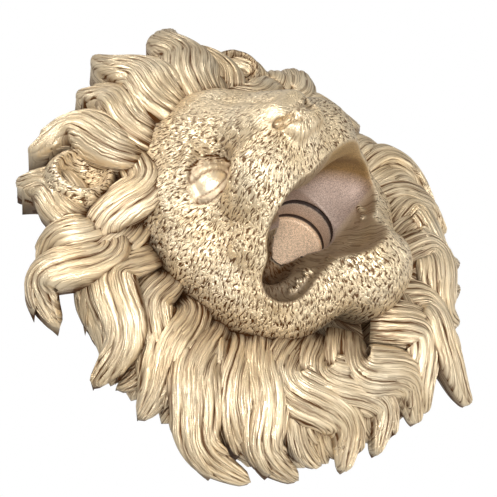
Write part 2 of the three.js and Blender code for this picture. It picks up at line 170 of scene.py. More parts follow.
def makeGoldLacquer(name, stroke):
    material, tree = newMaterial(name)
    flow = addNode(tree, "ShaderNodeAttribute", {"attribute_name": "flow"}).outputs["Vector"]
    washAndShade = addNode(tree, "ShaderNodeAttribute", {"attribute_name": "washAndShade"}).outputs["Fac"]
    rough = addNode(tree, "ShaderNodeAttribute", {"attribute_name": "fur"}).outputs["Fac"]
    smooth = addNode(tree, "ShaderNodeAttribute", {"attribute_name": "bored"}).outputs["Fac"]
    place = addNode(tree, "ShaderNodeTexCoord").outputs["Object"]
    # strokes of the carving tool, drawn in mm along the hair and wandering a little
    wander = addNode(tree, "ShaderNodeTexNoise", {"Scale": 1 / (goldLacquer["wanderEveryMm"] * mm), "Detail": 1.0},
                     {"Vector": place}).outputs["Color"]
    aside = (stroke["wander"], stroke["wander"], 0)
    wander = addNode(tree, "ShaderNodeVectorMath", {"operation": "MULTIPLY", 1: aside}, {0: wander}).outputs[0]
    if stroke["aboutNose"]:
        # flow holds the turn about the nose, the reach from its axis and the distance along the fur;
        # the reach is stepped, so that a stroke keeps its width all over the face
        step = goldLacquer["reachStep"]
        parts = addNode(tree, "ShaderNodeSeparateXYZ", None, {0: flow}).outputs
        band = addNode(tree, "ShaderNodeMath", {"operation": "LOGARITHM", 1: step}, {0: parts["Y"]}).outputs[0]
        band = addNode(tree, "ShaderNodeMath", {"operation": "FLOOR"}, {0: band}).outputs[0]
        reach = addNode(tree, "ShaderNodeMath", {"operation": "POWER", 0: step}, {1: band}).outputs[0]
        turn = addNode(tree, "ShaderNodeMath", {"operation": "MULTIPLY"}, {0: parts["X"], 1: reach}).outputs[0]
        flow = addNode(tree, "ShaderNodeCombineXYZ", None, {"X": turn, "Y": parts["Z"], "Z": band}).outputs[0]
    moved = addNode(tree, "ShaderNodeVectorMath", {"operation": "ADD"}, {0: flow, 1: wander}).outputs[0]
    perStroke = (1 / stroke["across"], 1 / stroke["along"], 1)
    stretched = addNode(tree, "ShaderNodeVectorMath", {"operation": "MULTIPLY", 1: perStroke}, {0: moved}).outputs[0]
    lines = addNode(tree, "ShaderNodeTexNoise", {"Scale": 1.0, "Detail": 2.5, "Roughness": 0.55},
                    {"Vector": stretched}).outputs["Fac"]
    groove, ridge = goldLacquer["strokes"]
    strokes = addNode(tree, "ShaderNodeMapRange", {"From Min": groove, "From Max": ridge},
                      {"Value": lines}).outputs["Result"]
    grain = addNode(tree, "ShaderNodeTexNoise", {"Scale": 1 / (goldLacquer["grainMm"] * mm), "Detail": 2.0},
                    {"Vector": place}).outputs["Fac"]
    patches = addNode(tree, "ShaderNodeTexNoise", {"Scale": 1 / (goldLacquer["patchMm"] * mm), "Detail": 2.0},
                      {"Vector": place}).outputs["Fac"]
    # low parts of the strokes hold wash
    low = addNode(tree, "ShaderNodeMapRange",
                  {"From Min": 0.5, "From Max": 0.0, "To Min": 0.0, "To Max": stroke["bottomWash"]},
                  {"Value": strokes}).outputs["Result"]
    low = addNode(tree, "ShaderNodeMath", {"operation": "MULTIPLY"}, {0: low, 1: rough}).outputs[0]
    # the attribute's brown is the wash together with painted shade in closed-in places, creases and under the locks
    totalWashAndShade = addNode(tree, "ShaderNodeMath", {"operation": "ADD", "use_clamp": True}, {0: low, 1: washAndShade}).outputs[0]
    gold = addNode(tree, "ShaderNodeMix",
                   {"data_type": "RGBA", 6: linear(goldLacquer["pale"]), 7: linear(goldLacquer["warm"])},
                   {0: patches}).outputs[2]
    colour = addNode(tree, "ShaderNodeMix", {"data_type": "RGBA", 7: linear(goldLacquer["washAndShade"])},
                     {0: totalWashAndShade, 6: gold}).outputs[2]
    # the bore's own colours, with painted shade in its two ring grooves, by distance from the wall
    out = addNode(tree, "ShaderNodeSeparateXYZ", None, {0: place}).outputs["Y"]
    first, last = boreColoursAndGrooveShade[0][0], boreColoursAndGrooveShade[-1][0]
    depth = addNode(tree, "ShaderNodeMapRange", {"From Min": -first * mm, "From Max": -last * mm},
                    {"Value": out}).outputs["Result"]
    shades = addNode(tree, "ShaderNodeValToRGB", None, {"Fac": depth})
    for i, (at, shade) in enumerate(boreColoursAndGrooveShade):
        stops = shades.color_ramp.elements
        stop = stops[i] if i < 2 else stops.new(1.0)
        stop.position = (at - first) / (last - first)
        stop.color = linear(shade)
    mottle = addNode(tree, "ShaderNodeMapRange", {"From Min": 0.35, "From Max": 0.65, "To Min": 0.6, "To Max": 1.2},
                     {"Value": grain}).outputs["Result"]
    bored = addNode(tree, "ShaderNodeVectorMath", {"operation": "SCALE"},
                    {0: shades.outputs["Color"], "Scale": mottle}).outputs[0]
    colour = addNode(tree, "ShaderNodeMix", {"data_type": "RGBA"}, {0: smooth, 6: colour, 7: bored}).outputs[2]
    height = addNode(tree, "ShaderNodeMath", {"operation": "MULTIPLY"}, {0: strokes, 1: rough}).outputs[0]
    bump = addNode(tree, "ShaderNodeBump", {"Strength": 1.0, "Distance": stroke["deep"] * mm},
                   {"Height": height}).outputs[0]
    fine = addNode(tree, "ShaderNodeBump", {"Strength": 0.8, "Distance": goldLacquer["grainDeepMm"] * mm},
                   {"Height": grain, "Normal": bump}).outputs[0]
    matt = addNode(tree, "ShaderNodeMath", {"operation": "MAXIMUM"}, {0: totalWashAndShade, 1: smooth}).outputs[0]
    shine = addNode(tree, "ShaderNodeMapRange",
                    {"To Min": goldLacquer["roughness"], "To Max": goldLacquer["washedRoughness"]},
                    {"Value": matt}).outputs["Result"]
    metal = addNode(tree, "ShaderNodeMapRange",
                    {"To Min": goldLacquer["metallic"], "To Max": goldLacquer["boreMetallic"]},
                    {"Value": smooth}).outputs["Result"]
    shader = addNode(tree, "ShaderNodeBsdfPrincipled", None,
                     {"Base Color": colour, "Roughness": shine, "Metallic": metal, "Normal": fine})
    addNode(tree, "ShaderNodeOutputMaterial", None, {"Surface": shader.outputs[0]})
    return material


# Plain matt surfaces: white emulsion rolled on the studio floor, even and without gloss, and the back
# as it was cast, sanded flat and left unpainted, a mottled beige
mattSurfaces = {
    "rolledWhiteEmulsion": {"base": "#F4F4F2", "mottle": "#F8F8F6", "roughness": 0.9, "glow": 0.35},
    "sandedCastResin": {"base": "#BFA98A", "mottle": "#9C8464", "roughness": 0.65, "glow": 0},
}
mattSpots = {"acrossMm": 3, "deepMm": 0.15}


def makeMattSurface(name):
    material, tree = newMaterial(name)
    look = mattSurfaces[name]
    place = addNode(tree, "ShaderNodeTexCoord").outputs["Object"]
    spots = addNode(tree, "ShaderNodeTexNoise", {"Scale": 1 / (mattSpots["acrossMm"] * mm), "Detail": 4.0},
                    {"Vector": place}).outputs["Fac"]
    colour = addNode(tree, "ShaderNodeMix",
                     {"data_type": "RGBA", 6: linear(look["base"]), 7: linear(look["mottle"])},
                     {0: spots}).outputs[2]
    bump = addNode(tree, "ShaderNodeBump", {"Strength": 0.4, "Distance": mattSpots["deepMm"] * mm},
                   {"Height": spots}).outputs[0]
    shader = addNode(tree, "ShaderNodeBsdfPrincipled",
                     {"Roughness": look["roughness"], "Emission Color": (1, 1, 1, 1),
                      "Emission Strength": look["glow"]},
                     {"Base Color": colour, "Normal": bump})
    addNode(tree, "ShaderNodeOutputMaterial", None, {"Surface": shader.outputs[0]})
    return material


# Distances to simple forms, on arrays of points

def egg(p, at, radii):
    q = [(p[i] - at[i]) / radii[i] for i in range(3)]
    far = np.sqrt(q[0] ** 2 + q[1] ** 2 + q[2] ** 2)
    slope = np.sqrt(sum((q[i] / radii[i]) ** 2 for i in range(3)))
    return far * (far - 1) / np.maximum(slope, 1e-5)


def bar(p, start, end, radius, endRadius=None):
    along = [e - s for s, e in zip(start, end)]
    length = sum(a * a for a in along)
    t = np.clip(sum((p[i] - start[i]) * along[i] for i in range(3)) / length, 0, 1)
    far = np.sqrt(sum((p[i] - start[i] - along[i] * t) ** 2 for i in range(3)))
    return far - (radius if endRadius is None else radius + (endRadius - radius) * t)


def roundedBox(p, at, half, rounding):
    q = [np.abs(p[i] - at[i]) - half[i] + rounding for i in range(3)]
    outside = np.sqrt(sum(np.maximum(v, 0) ** 2 for v in q))
    return outside + np.minimum(np.maximum(np.maximum(q[0], q[1]), q[2]), 0) - rounding


def smoothMin(a, b, blend):
    h = np.maximum(blend - np.abs(a - b), 0) / blend
    return np.minimum(a, b) - h * h * blend / 4


def smoothMax(a, b, blend):
    return -smoothMin(-a, -b, blend)


def ramp(value, start, end):
    # 0 at the start, 1 at the end and straight between them
    return np.clip((value - start) / (end - start), 0, 1)


def valueNoise(u, v, seed):
    size = 256
    table = np.random.default_rng(seed).random((size, size))
    i, j = np.floor(u).astype(int), np.floor(v).astype(int)
    fu, fv = u - i, v - j
    fu, fv = fu * fu * (3 - 2 * fu), fv * fv * (3 - 2 * fv)
    corner = lambda a, b: table[(i + a) % size, (j + b) % size]
    return ((corner(0, 0) * (1 - fu) + corner(1, 0) * fu) * (1 - fv)
            + (corner(0, 1) * (1 - fu) + corner(1, 1) * fu) * fv) - 0.5


# The face

face = {
    "grid": 0.9,                       # mm between the sculpting points
    "low": (-72, -62, 7), "high": (72, 104, 86),
    "floorOut": 9,                     # the head is cut off here, inside the mane
    "forms": {
        "skull": {"at": (0, 30, 6), "radii": (58, 68, 49), "blend": 5},
        "forehead": {"at": (0, 58, 34), "radii": (26, 18, 21), "blend": 10},
        "cheek": {"at": (29, 2, 16), "radii": (28, 34, 27), "blend": 8},
        "cheekbone": {"at": (42, 26, 24), "radii": (14, 10, 13), "blend": 7},
        "jaw": {"ends": ((36, -17, 21), (13, -30, 32)), "radius": 11, "blend": 9},
        "chin": {"at": (0, -36.5, 28), "radii": (20.5, 16.5, 25.5), "blend": 4},
        "lowerLip": {"ends": ((0, -31.5, 46), (20, -25.5, 36)), "radius": 6, "blend": 5},
        "browRidge": {"ends": ((11, 50, 47), (37, 47, 35)), "radius": 9, "blend": 7},
        "noseBridge": {"ends": ((5, 55, 46), (6, 30, 69.5)), "radius": 11, "blend": 8},
        "muzzle": {"at": (0, 21, 54), "radii": (20, 18, 23), "blend": 6},
        "whiskerPad": {"at": (16, 21.5, 49), "radii": (20.5, 17, 27), "blend": 5},
        "lipRoll": {"ends": ((25, 12, 58), (36, 8, 43)), "radius": 7, "blend": 6},
        "cornerRoll": {"ends": ((36, 8, 43), (39, -9, 28)), "radius": 7, "blend": 5},
    },
    "leftPad": {"at": (17, 16, 48), "radii": (21, 17, 27), "blend": 5},
    "leftRoll": {"ends": ((24, 6, 52), (37, 2, 40)), "radius": 8, "blend": 5},
    "nosePad": {"at": (0, 25.5, 73.5), "half": (10.5, 9.5, 9.5), "rounding": 5},
    "noseCentre": (0, 25, 76),         # the fur flows back from here
    # nostril, wing groove, philtrum and the cleft above it: start, end, radius, blend
    "noseGrooves": (
        ((3.5, 22.5, 84), (9.5, 26.5, 78.5), 2.0, 1.5), ((9.5, 26.5, 79.5), (13, 31, 73), 1.1, 1.5),
        ((0, 17, 84), (0, 7, 76), 1.2, 2.0), ((0, 23, 86), (0, 17, 84), 0.9, 1.5),
    ),
    "eye": {"at": (25, 37, 42), "radius": 9.5, "socket": (29, 37, 54), "socketRadii": (11, 8, 7.5)},
    # folds above and below the eye and the creases between them: start, end, radius
    "eyeFolds": (
        ((13, 46, 54), (25, 51, 52), 2.0), ((25, 51, 52), (39, 45, 43), 2.2),
        ((18, 24, 50), (34, 26, 44), 2.6), ((34, 26, 44), (44, 33, 36), 2.4),
    ),
    "eyeCreases": (
        ((15, 45, 57), (25, 48.5, 55), 0.6), ((25, 48.5, 55), (37, 45, 47), 0.6),
        ((11, 35.5, 56), (16, 35, 52), 0.8), ((36, 35, 44), (43, 33, 40), 1.0),
        ((20, 19.5, 54), (37, 21.5, 46), 0.9),
    ),
    "mouthHollow": {"at": (0, -8, 58), "radii": (35, 14.5, 30)},
    "rightSneer": {"at": (-19, -3, 50), "radii": (19, 13, 26)},
    "mouthFloor": {"at": (0, -16, 60), "radii": (17, 15, 24)},
    "mouthCorner": {"at": (23, -8, 43), "radii": (14, 10.5, 12.5)},
    "bell": {"at": (10, -3, 43), "radii": (22, 16, 13.5)},       # the far wall, one smooth sweep out of the bore
    "rightPocket": {"at": (-22, -1, 33), "radii": (14, 9.5, 20)},
    "rightCorner": {"at": (-33, -9, 38), "radii": (12, 10.5, 13)},
    "mouthBlend": {"turned": 0.6, "open": 7, "out": (34, 42)},     # the turned bore stays crisp, its bell is soft
    "lipRim": {"rise": 1.0, "wide": 1.8},                         # a low rolled rim round the mouth
    "canine": {"start": (17, -27, 38), "end": (15.5, -18.5, 40), "radii": (2.8, 1.5)},
    # the gum runs back from the canine in curved folds, each a step behind the last
    "gum": {"folds": 4, "start": (20, -21, 37), "startStep": (3.2, 0.8, -3.4),
            "end": (24, -14.5, 35), "endStep": (3.4, 0, -3.4), "radii": (2.2, 1.5)},
    "ear": {"at": (53, 79, 25), "radii": (14.5, 15, 15)},
    "earBowl": {"at": (52, 79, 40), "radii": (10, 10.5, 13)},
}
bore = {
    "radius": 14, "endOut": 13, "flareOut": 36, "flareRadius": 21, "flareEndOut": 52,
    "firstGroove": 2, "groove": 2, "grooveDepth": 1.2, "band": 11,
}


def boreCut(p):
    across = np.sqrt(p[0] ** 2 + p[1] ** 2)
    wide = bore["radius"] + (bore["flareRadius"] - bore["radius"]) * ramp(p[2], bore["flareOut"], bore["flareEndOut"])
    firstStart = bore["endOut"] + bore["firstGroove"]
    for start in (firstStart, firstStart + bore["band"]):
        inGroove = np.abs(p[2] - start - bore["groove"] / 2) / (bore["groove"] / 2)
        wide = wide + bore["grooveDepth"] * np.clip(1.8 - 1.6 * inGroove, 0, 1)
    return np.maximum(np.maximum(across - wide, bore["endOut"] - p[2]), p[2] - bore["flareEndOut"])


def faceField(p):
    half = [np.abs(p[0]), p[1], p[2]]
    field = np.full(p[0].shape, 1e3, dtype=np.float32)
    for form in face["forms"].values():
        if "radii" in form:
            one = egg(half, form["at"], form["radii"])
        else:
            one = bar(half, *form["ends"], form["radius"])
        field = smoothMin(field, one, form["blend"])
    field = smoothMin(field, egg(p, face["leftPad"]["at"], face["leftPad"]["radii"]), face["leftPad"]["blend"])
    field = smoothMin(field, bar(p, *face["leftRoll"]["ends"], face["leftRoll"]["radius"]), face["leftRoll"]["blend"])
    eye = face["eye"]
    field = smoothMax(field, -egg(half, eye["socket"], eye["socketRadii"]), 5)
    for start, end, radius in face["eyeFolds"]:
        field = smoothMin(field, bar(half, start, end, radius), 2.5)
    for start, end, radius in face["eyeCreases"]:
        field = smoothMax(field, -bar(half, start, end, radius), 1.6)
    field = smoothMin(field, roundedBox(half, **face["nosePad"]), 2.5)
    for start, end, radius, blend in face["noseGrooves"]:
        field = smoothMax(field, -bar(half, start, end, radius), blend)
    # the eyeball and its lids
    field = smoothMin(field, egg(half, eye["at"], (eye["radius"],) * 3), 0.6)
    for ring in eyelids():
        for start, end in zip(ring, ring[1:]):
            field = smoothMin(field, bar(half, start[:3], end[:3], start[3], end[3]), 0.8)
    # ears
    ear = egg(half, face["ear"]["at"], face["ear"]["radii"])
    ear = smoothMax(ear, -egg(half, face["earBowl"]["at"], face["earBowl"]["radii"]), 2)
    field = smoothMin(field, ear, 3)
    return np.maximum(field, face["floorOut"] - p[2])


# Lids, in mm: up or down, how far from the middle they rise, half length,
# reach from the ball's centre, thickness
lids = {
    "sideways": 38, "slant": 18,       # degrees that the eye looks to its side, and that its corners slant
    "steps": 12,                       # bars to a lid
    "rings": (
        (1, 5.7, 9.2, 10.2, 1.15), (-1, 5.4, 9.2, 10.2, 1.15),
        (1, 7.8, 10.6, 11.2, 1.0), (1, 9.9, 11.6, 12.2, 0.95),
    ),
}


def eyelids():
    at, steps = np.array(face["eye"]["at"]), lids["steps"]
    turn, slant = math.radians(lids["sideways"]), math.radians(lids["slant"])
    front = np.array([math.sin(turn), 0, math.cos(turn)])      # a lion's eye looks out to its side
    outer = np.array([math.cos(turn) * math.cos(slant), math.sin(slant), -math.sin(turn) * math.cos(slant)])
    over = np.cross(front, outer)
    rings = []
    for side, rise, length, reach, thick in lids["rings"]:
        ring = []
        for i in range(steps + 1):
            a = math.pi * i / steps
            x, y = math.cos(a) * length, math.sin(a) * rise * side
            bulge = math.sqrt(max(reach ** 2 - x ** 2 - y ** 2, 1))
            point = at + outer * x + over * y + front * bulge
            ring.append((*point, thick * (0.5 + 0.5 * math.sin(a))))
        rings.append(ring)
    return rings


def mouthSpace(p):
    hollow = egg(p, **face["mouthHollow"])
    half = [np.abs(p[0]), p[1], p[2]]
    hollow = smoothMin(hollow, egg(half, **face["mouthCorner"]), 3)
    for name in ("mouthFloor", "rightSneer", "rightPocket", "rightCorner"):
        hollow = smoothMin(hollow, egg(p, **face[name]), 3)
    hollow = smoothMin(hollow, egg(p, **face["bell"]), 5)
    blend = face["mouthBlend"]
    soft = blend["turned"] + (blend["open"] - blend["turned"]) * ramp(p[2], *blend["out"])
    return smoothMin(hollow, boreCut(p), soft)


def cutMouth(field, p):
    hollow, rim = mouthSpace(p), face["lipRim"]
    lips = rim["rise"] * np.exp(-((hollow - rim["wide"]) / rim["wide"]) ** 2)
    return smoothMax(field - lips, -hollow, 1.6)


def addTeeth(field, p):
    half = [np.abs(p[0]), p[1], p[2]]
    canine, gum = face["canine"], face["gum"]
    field = smoothMin(field, bar(half, canine["start"], canine["end"], *canine["radii"]), 1.2)
    for i in range(gum["folds"]):
        start = [a + i * d for a, d in zip(gum["start"], gum["startStep"])]
        end = [a + i * d for a, d in zip(gum["end"], gum["endStep"])]
        field = smoothMin(field, bar(half, start, end, *gum["radii"]), 1.2)
    return field


def surfaceNets(field, low, step):
    inside = field < 0
    cells = inside[:-1, :-1, :-1].astype(np.int8)
    corners = [(a, b, c) for a in (0, 1) for b in (0, 1) for c in (0, 1)]
    size = [n - 1 for n in field.shape]
    for a, b, c in corners[1:]:
        cells += inside[a:a + size[0], b:b + size[1], c:c + size[2]]
    at = np.argwhere((cells > 0) & (cells < 8))
    number = np.full(size, -1, dtype=np.int64)
    number[at[:, 0], at[:, 1], at[:, 2]] = np.arange(len(at))
    total, count = np.zeros((len(at), 3)), np.zeros(len(at))
    for axis in range(3):
        others = [k for k in range(3) if k != axis]
        for b in (0, 1):
            for c in (0, 1):
                start = np.zeros(3, dtype=int)
                start[others[0]], start[others[1]] = b, c
                end = start.copy()
                end[axis] = 1
                f0 = field[tuple((at + start).T)]
                f1 = field[tuple((at + end).T)]
                crossing = (f0 < 0) != (f1 < 0)
                t = np.where(crossing, f0 / np.where(crossing, f0 - f1, 1), 0)
                total += np.where(crossing[:, None], start + t[:, None] * (end - start), 0)
                count += crossing
    points = (at + total / count[:, None]) * step + np.asarray(low)
    quads = []
    for axis in range(3):
        b, c = [(axis + 1) % 3, (axis + 2) % 3]
        first = [slice(None)] * 3
        second = [slice(None)] * 3
        first[axis], second[axis] = slice(0, -1), slice(1, None)
        f0, f1 = inside[tuple(first)], inside[tuple(second)]
        edge = np.argwhere(f0 != f1)
        edge = edge[(edge[:, b] > 0) & (edge[:, c] > 0) & (edge[:, b] < size[b]) & (edge[:, c] < size[c])]
        outward = f0[tuple(edge.T)]
        ring = []
        for db, dc in ((1, 1), (0, 1), (0, 0), (1, 0)):
            cell = edge.copy()
            cell[:, b] -= db
            cell[:, c] -= dc
            ring.append(number[tuple(cell.T)])
        ring = np.stack(ring, axis=1)
        ring[~outward] = ring[~outward][:, ::-1]
        quads.append(ring)
    return points, np.concatenate(quads)


def vertexNormals(points, quads):
    normal = np.zeros_like(points)
    cross = np.cross(points[quads[:, 2]] - points[quads[:, 0]], points[quads[:, 3]] - points[quads[:, 1]])
    for k in range(quads.shape[1]):
        np.add.at(normal, quads[:, k], cross)
    return normal / np.maximum(np.linalg.norm(normal, axis=1, keepdims=True), 1e-9)


def meshObject(name, points, faces, materials):
    mesh = bpy.data.meshes.new(name)
    mesh.from_pydata(toWorld(points).tolist(), [], [list(f) for f in faces])
    mesh.validate()
    mesh.shade_smooth()
    for material in materials:
        mesh.materials.append(material)
    piece = bpy.data.objects.new(name, mesh)
    bpy.context.scene.collection.objects.link(piece)
    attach(piece, "root")
    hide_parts("lion_mask")
    return piece


def setFloat(piece, name, values):
    piece.data.attributes.new(name, "FLOAT", "POINT").data.foreach_set("value", np.asarray(values, dtype=np.float32))


def setVector(piece, name, values):
    data = piece.data.attributes.new(name, "FLOAT_VECTOR", "POINT").data
    data.foreach_set("vector", np.asarray(values, dtype=np.float32).ravel())


# Where the head's finish changes, in mm: (where it is 0, where it is 1), or a limit
finish = {
    "mouthWall": (1.7, 0.7),
    "boreWall": 1.1, "boreTopOut": 36,
    "roof": {"up": (-9, -5), "out": (57, 52), "beyondOut": 33},
    "farWall": {"side": (1, 6), "up": (-16, -12), "beyondOut": 28},
    "eyeball": (13, 11.5), "creaseFromLid": 0.6, "creaseFromEye": 13.5,
    "jaw": {"out": (32, 18), "belowUp": 45},
    "earBack": {"side": (42, 46), "up": (68, 73)},
    "bridge": {"wide": 13, "aboveUp": 28, "beyondOut": 48},
    # how much darkening each place takes: painted shade, with the wash
    "washAndShadeIn": {"creases": 0.95, "jaw": 0.4, "mouth": 0.45, "earBack": 0.5},
    "furLostOn": {"bridge": 0.45, "nose": 0.3, "mouth": 0.7},
}
# Tufts of fur, in mm across and along its flow
tufts = {"reach": 42, "across": 1.9, "along": 6.5, "bendEvery": 9, "rise": 0.45, "fromNose": (10, 30)}


def makeFace(material):
    step = face["grid"]
    axes = [np.arange(a, b + step, step, dtype=np.float32) for a, b in zip(face["low"], face["high"])]
    p = np.meshgrid(*axes, indexing="ij")
    field = faceField(p)
    field = cutMouth(field, p)
    field = addTeeth(field, p)
    field = smoothMax(field, -boreCut(p), 0.6)
    points, quads = surfaceNets(field, face["low"], step)
    normal = vertexNormals(points, quads)
    # fur flows back from the nose
    away = points - np.asarray(face["noseCentre"])
    along = np.linalg.norm(away, axis=1)
    fromAxis = np.maximum(np.hypot(away[:, 0], away[:, 1]), 2)
    turn = np.arctan2(away[:, 1], np.abs(away[:, 0]) + 1e-6)
    side, up, out = points[:, 0], points[:, 1], points[:, 2]
    spot, half = [side, up, out], [np.abs(side), up, out]
    # the mouth's roof and its far wall are as smooth as the bore
    boreFar = np.abs(boreCut(spot))
    cut = ramp(np.minimum(np.abs(mouthSpace(spot)), boreFar), *finish["mouthWall"])
    turned = np.clip((finish["boreWall"] - boreFar) * 3, 0, 1) * (out < finish["boreTopOut"])
    roof, far = finish["roof"], finish["farWall"]
    onRoof = ramp(up, *roof["up"]) * ramp(out, *roof["out"]) * (out > roof["beyondOut"])
    onFar = ramp(side, *far["side"]) * ramp(up, *far["up"]) * (out > far["beyondOut"])
    bored = np.maximum(turned, cut * np.maximum(onRoof, onFar))
    eyeFar = np.sqrt(sum((half[k] - face["eye"]["at"][k]) ** 2 for k in range(3)))
    onEye = ramp(eyeFar, *finish["eyeball"])
    lidFar = np.full(len(points), 1e3)
    for ring in eyelids():
        for start, end in zip(ring, ring[1:]):
            lidFar = np.minimum(lidFar, bar(half, start[:3], end[:3], start[3], end[3]))
    crease = ramp(np.abs(lidFar - finish["creaseFromLid"]), 1, 0) * (eyeFar < finish["creaseFromEye"])
    onNose = np.clip(1.5 - 0.7 * roundedBox(half, **face["nosePad"]), 0, 1)
    # painted shade, laid on with the wash, lies thick in the eye creases, in the mouth, where the jaw meets the mane
    # and on the back of the left ear
    jaw, ear, washAndShadeIn = finish["jaw"], finish["earBack"], finish["washAndShadeIn"]
    jawEdge = ramp(out, *jaw["out"]) * (up < jaw["belowUp"]) * (1 - bored)
    earBack = ramp(side, *ear["side"]) * ramp(up, *ear["up"])
    thick = washAndShadeIn["creases"] * crease + washAndShadeIn["jaw"] * jawEdge + washAndShadeIn["mouth"] * cut * (1 - bored)
    thick = thick + washAndShadeIn["earBack"] * earBack
    ridge, lost = finish["bridge"], finish["furLostOn"]
    bridge = np.exp(-(side / ridge["wide"]) ** 2) * (up > ridge["aboveUp"]) * (out > ridge["beyondOut"])
    fur = np.clip(1 - onEye - lost["bridge"] * bridge - lost["nose"] * onNose - bored, 0, 1) * (1 - lost["mouth"] * cut)
    wide = turn * tufts["reach"]
    bend = valueNoise(wide / tufts["bendEvery"], along / tufts["bendEvery"], 3) * 2
    relief = valueNoise(wide / tufts["across"] + bend, along / tufts["along"], 5) * tufts["rise"]
    points = points + normal * (relief * fur * (1 - cut) * ramp(fromAxis, *tufts["fromNose"]))[:, None]
    piece = meshObject("lion_mask_face", points, quads, [material])
    setVector(piece, "flow", np.stack([turn, fromAxis, along], axis=1))
    setFloat(piece, "fur", fur)
    setFloat(piece, "bored", bored)
    print("face", len(points), "points", 2 * len(quads), "triangles")
    return piece, thick


# The mane

mane = {
    "middleUp": 5,
    "edge": {"side": 90, "up": 96, "domeOut": 24, "sunkIn": 4, "turns": 96, "rows": 10, "flatWithin": 0.5},
    "rootOut": {"side": 24, "crownExtra": 26, "beardExtra": 8},
    "tipOut": {"side": 4, "crownExtra": 22, "beardExtra": 2},
    "leftShorter": {"by": 5, "fromDegrees": 88, "toDegrees": 102},
    "arch": 3, "crest": 0.27,
    "wave": 3.0, "waveMm": 42,         # the locks weave from side to side together
    "waveVary": 0.35, "waveMmVary": 0.15,
    "strandMm": 3.3,                   # a strand's width in the thick of a lock
    "rootDip": 13,
    # a lock starts wide and low at the face, swells, and narrows to a rounded tip: shares of its width and rise
    "taper": {
        "at": (0, 0.15, 0.4, 0.65, 0.85, 1.0),
        "width": (1.0, 1.1, 1.25, 1.08, 0.68, 0.28),
        "rise": (0.45, 0.7, 1.0, 0.95, 0.75, 0.5),
    },
}
# How a lock's hair lies
hair = {
    "crowding": 0.8,                   # the rings crowd towards the tip
    "leanOut": (0.25, 0.5),            # how the crest leans outwards at the root, and how much more at the tip
    "roll": (8, 14),                   # degrees at most, of the whole lock and of its middle
    "tipReach": 0.9, "tipWidth": 0.12, "tipRise": 0.3,
    "shoulder": 2.3, "roundness": 0.62, "sunk": 0.35,      # the section of a lock, and how far its edges sink
    "warp": 0.35, "driftMm": 55, "grooveShape": 0.55, "uneven": 0.35,
    "fadeIn": 0.12, "fadeOut": 0.06,   # shares of the length over which the strands part and join
    "under": ((0.75, 0.55), (0, 1.0), (-0.75, 0.55)),      # shares of the half width and of the depth
    # painted shade at a lock's root: how dark, and over what share of its length
    "rootShadeStrength": 0.55, "rootShadeTo": 0.2,
}

# One side's locks, from the crown down to the beard: angle from straight up and reach in mm of root and tip,
# bow and sway of the middle line, width, lift
sideLocks = [
    ((15, 66), (9, 112), 1, 1, 20, 0), ((24, 72), (29, 114), -6, 2, 20, 1),
    ((44, 84), (35, 115), 2, 2, 17, -6), ((47, 84), (54, 104), -1, 1, 16, -4),
    ((26, 74), (56, 93), 8, 3, 18, 2), ((53, 82), (68, 104), -6, 5, 17, 1),
    ((47, 70), (75, 93), -7, 2, 16, -2), ((58, 66), (82, 104), -4, -5, 18, 2),
    ((67, 62), (85, 98), 4, -4, 18, 0), ((79, 60), (93, 101), 3, 2, 19, 1),
    ((88, 58), (102, 98), 1, 2, 17, -2), ((96, 57), (119, 106), -19, 3, 17, 2),
    ((105, 56), (122, 98), -11, 5, 19, 0), ((113, 54), (129, 104), -11, 3, 18, 2),
    ((122, 54), (135, 99), -10, 1, 17, 0), ((131, 55), (140, 103), -6, -8, 19, 2),
    ((141, 55), (149, 101), -3, -9, 19, 1), ((152, 56), (163, 99), -6, -8, 20, 3),
]
middleLocks = [
    ((2, 62), (-1, 121), 1, 1, 23, 4), ((-7, 60), (-24, 125), 6, -2, 23, 5),
    ((166, 55), (166, 98), 11, 2, 19, 4), ((-179, 55), (178, 111), 7, 7, 18, 4),
    ((-166, 56), (-172, 98), -7, -4, 18, 2),
]


def outAt(spread, degrees):
    c = math.cos(math.radians(degrees))
    return spread["side"] + spread["crownExtra"] * max(c, 0) ** 1.5 + spread["beardExtra"] * max(-c, 0)


def polar(place, mirror):
    a = math.radians(place[0])
    return np.array([-mirror * place[1] * math.sin(a), mane["middleUp"] + place[1] * math.cos(a)])


def tipPlace(lock, mirror):
    # the lion's left is carved a little shorter below the ear
    short = mane["leftShorter"]
    share = np.clip((lock[1][0] - short["fromDegrees"]) / (short["toDegrees"] - short["fromDegrees"]), 0, 1)
    share = share * share * (3 - 2 * share) if mirror < 0 else 0
    return polar((lock[1][0], lock[1][1] - short["by"] * share), mirror)


def lockLine(lock, mirror, t):
    root, tip, bow, sway, _, lift = lock
    start, end = polar(root, mirror), tipPlace(lock, mirror)
    chord = end - start
    left = np.array([-chord[1], chord[0]]) / np.linalg.norm(chord) * mirror
    bend = bow * np.sin(np.pi * t) + sway * np.sin(2 * np.pi * t)
    rootHeight = outAt(mane["rootOut"], root[0]) + lift
    tipHeight = outAt(mane["tipOut"], tip[0]) + lift / 2
    height = rootHeight + (tipHeight - rootHeight) * t
    height = height + mane["arch"] * np.sin(np.pi * t) - mane["rootDip"] * (1 - t) ** 4
    length = np.linalg.norm(chord)
    vary = math.sin(root[0] * 1.7)
    weave = 2 * np.pi * t * length / (mane["waveMm"] * (1 + mane["waveMmVary"] * vary)) + root[0] * 0.03
    bend = bend + mane["wave"] * (1 + mane["waveVary"] * vary) * np.sin(weave) * np.sin(np.pi * t) ** 0.6
    plane = start + np.outer(t, chord) + np.outer(bend, left)
    return np.column_stack([plane, height])


